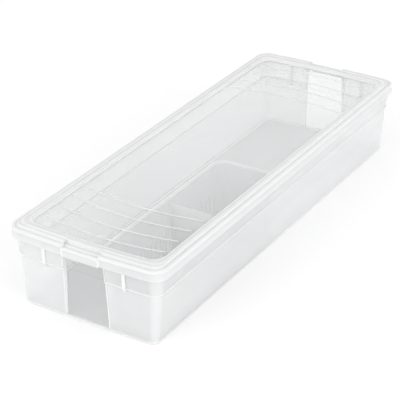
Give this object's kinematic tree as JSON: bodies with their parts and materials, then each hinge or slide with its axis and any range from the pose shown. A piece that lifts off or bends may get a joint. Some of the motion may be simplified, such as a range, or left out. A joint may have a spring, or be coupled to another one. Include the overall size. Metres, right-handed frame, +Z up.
{
  "type": "under bed gift wrap box",
  "caption": "Long, low frosted storage box for rolls of wrapping paper, with an overlapping lid, a lift-out accessory tray and a sliding divider.",
  "frame": {"origin": "under the centre of the tub's floor, on the surface that the box stands on", "axes": "+X across the box, towards the accessory tray; +Y along it, away from the end that the tray stands at; +Z up"},
  "size_m": [0.3186, 0.897, 0.156],
  "materials": {
    "frosted_tub": "natural polypropylene, fine frosted texture, polished only in the two end windows",
    "clear_lid": "natural polypropylene, nearly clear panel inside a frosted rim",
    "frosted_tray": "natural polypropylene, frosted"
  },
  "bodies": {
    "tub": {"box_tub": "frosted_tub"},
    "lid": {"lid": "clear_lid"},
    "tray": {"accessory_tray": "frosted_tray"},
    "divider": {"tray_divider": "frosted_tray"}
  },
  "joints": [
    {"name": "lid_lift", "type": "slide", "parent": "tub", "child": "lid", "axis": [0, 0, 1], "range_m": [0, 0.34]},
    {"name": "tray_lift", "type": "slide", "parent": "tub", "child": "tray", "axis": [0, 0, 1], "range_m": [0, 0.17]},
    {"name": "divider_lift", "type": "slide", "parent": "tray", "child": "divider", "axis": [0, 0, 1], "range_m": [0, 0.15]}
  ],
  "couplings": [
    {"joint": "tray_lift", "follows": "lid_lift", "ratio": 0.5},
    {"joint": "divider_lift", "follows": "lid_lift", "ratio": 0.44}
  ]
}
